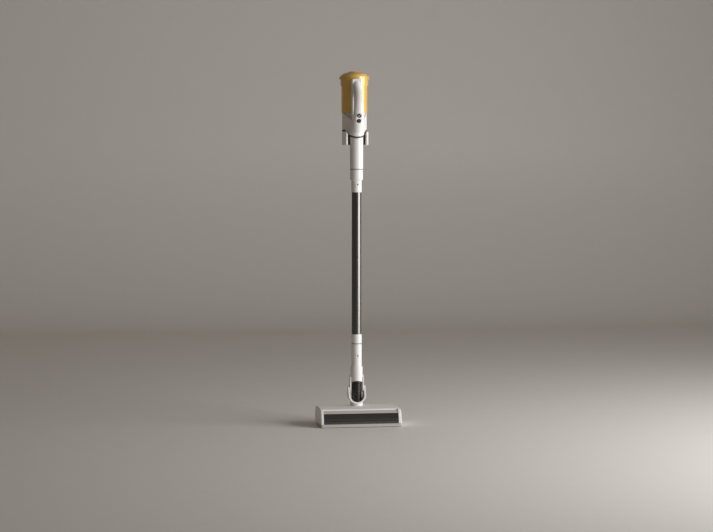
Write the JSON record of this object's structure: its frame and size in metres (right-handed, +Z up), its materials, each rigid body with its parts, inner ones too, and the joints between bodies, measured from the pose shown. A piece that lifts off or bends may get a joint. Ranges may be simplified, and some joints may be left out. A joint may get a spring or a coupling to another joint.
{
  "type": "cordless stick vacuum",
  "caption": "Cordless stick vacuum with a loop handle, see-through dust cup over the motor, slip-on battery, thin round wand and powered floor head on a folding, swivelling neck.",
  "frame": {"origin": "on the floor, under the middle of the whole object", "axes": "+Z up along the wand, +Y to the back where the cup and battery are, +X to the right of someone who looks at the back of the head from the front"},
  "size_m": [0.222, 0.1684, 0.968],
  "materials": {
    "white_plastic": "smooth satin white moulding",
    "black_plastic": "fine matte black",
    "clear_gold": "see-through amber, frosted inside",
    "black_gloss": "gloss black lacquer",
    "rubber": "soft black",
    "grey_plastic": "light grey",
    "smoke_clear": "smoked see-through",
    "steel": "drawn steel",
    "brass": "bright contact metal",
    "mesh": "fine etched mesh",
    "paper": "pleated filter paper",
    "foam": "open foam",
    "board": "green laminate",
    "bristle": "stiff nylon pile",
    "cells": "wrapped cells"
  },
  "bodies": {
    "main_body": {"body_shell": "white_plastic", "grip_cover": "white_plastic", "key_bezel": "white_plastic", "control_board": "board", "exhaust_grille": "grey_plastic", "exhaust_filter": "foam", "motor_can": "steel", "fan_shroud": "black_plastic", "motor_mount": "rubber", "inlet_duct": "black_plastic", "battery_dock": "black_plastic", "neck_pipe": "white_plastic", "wall_hook": "black_plastic"},
    "power_key": {"power_key": "black_plastic"},
    "mode_key": {"mode_key": "black_plastic"},
    "cup_latch": {"cup_latch": "white_plastic"},
    "fan": {"fan_rotor": "black_plastic"},
    "dust_cup": {"cup_wall": "clear_gold", "cup_band": "clear_gold", "cup_seal": "rubber", "lid_hinge_pin": "steel", "cyclone_frame": "black_plastic", "filter_mesh": "mesh", "pleated_filter": "paper"},
    "cup_lid": {"cup_lid": "clear_gold", "lid_seal": "rubber"},
    "lid_catch": {"lid_catch": "clear_gold"},
    "battery": {"battery_case": "white_plastic", "battery_cells": "cells", "charge_jack": "black_plastic", "battery_contacts": "brass"},
    "battery_latch": {"battery_latch": "grey_plastic"},
    "wand": {"upper_collar": "white_plastic", "wand_tube": "black_gloss", "lower_collar": "white_plastic"},
    "wand_button": {"wand_button": "white_plastic"},
    "socket": {"head_socket": "white_plastic", "hose": "rubber", "pivot_pins": "steel"},
    "head_button": {"head_button": "white_plastic"},
    "neck_yoke": {"yoke": "white_plastic"},
    "floor_head": {"head_base": "grey_plastic", "head_cover": "white_plastic", "head_window": "smoke_clear", "head_trim": "grey_plastic", "end_cap_left": "white_plastic", "end_cap_right": "white_plastic", "bumper": "grey_plastic", "roller_bearings": "brass", "drive_belt": "rubber", "brush_motor": "steel", "air_duct": "black_plastic", "head_axles": "steel"},
    "roller": {"roller_core": "grey_plastic", "bristle_strips": "bristle"},
    "brush_rotor": {"brush_rotor": "steel"},
    "wheel_left": {"wheel_left": "rubber"},
    "wheel_right": {"wheel_right": "rubber"},
    "castor_left": {"castor_left": "grey_plastic"},
    "castor_right": {"castor_right": "grey_plastic"}
  },
  "joints": [
    {"name": "power_key_press", "type": "slide", "parent": "main_body", "child": "power_key", "axis": [0, 0.891, 0.454], "range_m": [0, 0.001], "stiffness_N_per_m": 400, "springref_m": -0.002},
    {"name": "mode_key_press", "type": "slide", "parent": "main_body", "child": "mode_key", "axis": [0, 0.891, 0.454], "range_m": [0, 0.001], "stiffness_N_per_m": 400, "springref_m": -0.002},
    {"name": "cup_latch_press", "type": "slide", "parent": "main_body", "child": "cup_latch", "axis": [0, 0, -1], "range_m": [0, 0.0012], "stiffness_N_per_m": 500, "springref_m": -0.002},
    {"name": "cup_lift", "type": "slide", "parent": "main_body", "child": "dust_cup", "axis": [0, 0, 1], "range_m": [0, 0.12]},
    {"name": "lid_hinge", "type": "hinge", "parent": "dust_cup", "child": "cup_lid", "pos_m": [-0.0388, 0.0458, 0.953], "axis": [0, -1, 0], "range_deg": [0, 100]},
    {"name": "lid_catch_tilt", "type": "hinge", "parent": "dust_cup", "child": "lid_catch", "pos_m": [0.0397, 0.0458, 0.9484], "axis": [0, 1, 0], "range_deg": [0, 12], "stiffness_Nm_per_rad": 0.02, "springref_deg": -11.46},
    {"name": "fan_spin", "type": "hinge", "parent": "main_body", "child": "fan", "pos_m": [0, 0.0458, 0.827], "axis": [0, 0, 1], "continuous": true},
    {"name": "battery_slide", "type": "slide", "parent": "main_body", "child": "battery", "axis": [0, 0, -1], "range_m": [0, 0.06]},
    {"name": "battery_latch_press", "type": "slide", "parent": "battery", "child": "battery_latch", "axis": [0, -1, 0], "range_m": [0, 0.0008], "stiffness_N_per_m": 500, "springref_m": -0.002},
    {"name": "wand_pull", "type": "slide", "parent": "main_body", "child": "wand", "axis": [0, 0, -1], "range_m": [0, 0.045]},
    {"name": "wand_button_press", "type": "slide", "parent": "wand", "child": "wand_button", "axis": [0, 1, 0], "range_m": [0, 0.0008], "stiffness_N_per_m": 400, "springref_m": -0.002},
    {"name": "head_pull", "type": "slide", "parent": "wand", "child": "socket", "axis": [0, 0, -1], "range_m": [0, 0.04]},
    {"name": "head_button_press", "type": "slide", "parent": "socket", "child": "head_button", "axis": [0, 1, 0], "range_m": [0, 0.0008], "stiffness_N_per_m": 400, "springref_m": -0.002},
    {"name": "neck_pitch", "type": "hinge", "parent": "socket", "child": "neck_yoke", "pos_m": [0, 0.0078, 0.096], "axis": [1, 0, 0], "range_deg": [0, 80], "deforming": ["hose"]},
    {"name": "neck_swivel", "type": "hinge", "parent": "neck_yoke", "child": "floor_head", "pos_m": [0, 0.0078, 0.045], "axis": [0, 0, 1], "range_deg": [-60, 60]},
    {"name": "roller_spin", "type": "hinge", "parent": "floor_head", "child": "roller", "pos_m": [0, -0.0542, 0.021], "axis": [1, 0, 0], "continuous": true},
    {"name": "brush_rotor_spin", "type": "hinge", "parent": "floor_head", "child": "brush_rotor", "pos_m": [0, -0.0072, 0.024], "axis": [1, 0, 0], "continuous": true},
    {"name": "wheel_left_spin", "type": "hinge", "parent": "floor_head", "child": "wheel_left", "pos_m": [-0.078, 0.0268, 0.009], "axis": [1, 0, 0], "continuous": true},
    {"name": "castor_left_spin", "type": "hinge", "parent": "floor_head", "child": "castor_left", "pos_m": [-0.066, -0.0252, 0.0042], "axis": [1, 0, 0], "continuous": true},
    {"name": "wheel_right_spin", "type": "hinge", "parent": "floor_head", "child": "wheel_right", "pos_m": [0.078, 0.0268, 0.009], "axis": [1, 0, 0], "continuous": true},
    {"name": "castor_right_spin", "type": "hinge", "parent": "floor_head", "child": "castor_right", "pos_m": [0.066, -0.0252, 0.0042], "axis": [1, 0, 0], "continuous": true}
  ],
  "couplings": [
    {"joint": "brush_rotor_spin", "follows": "roller_spin", "ratio": 2.2}
  ]
}
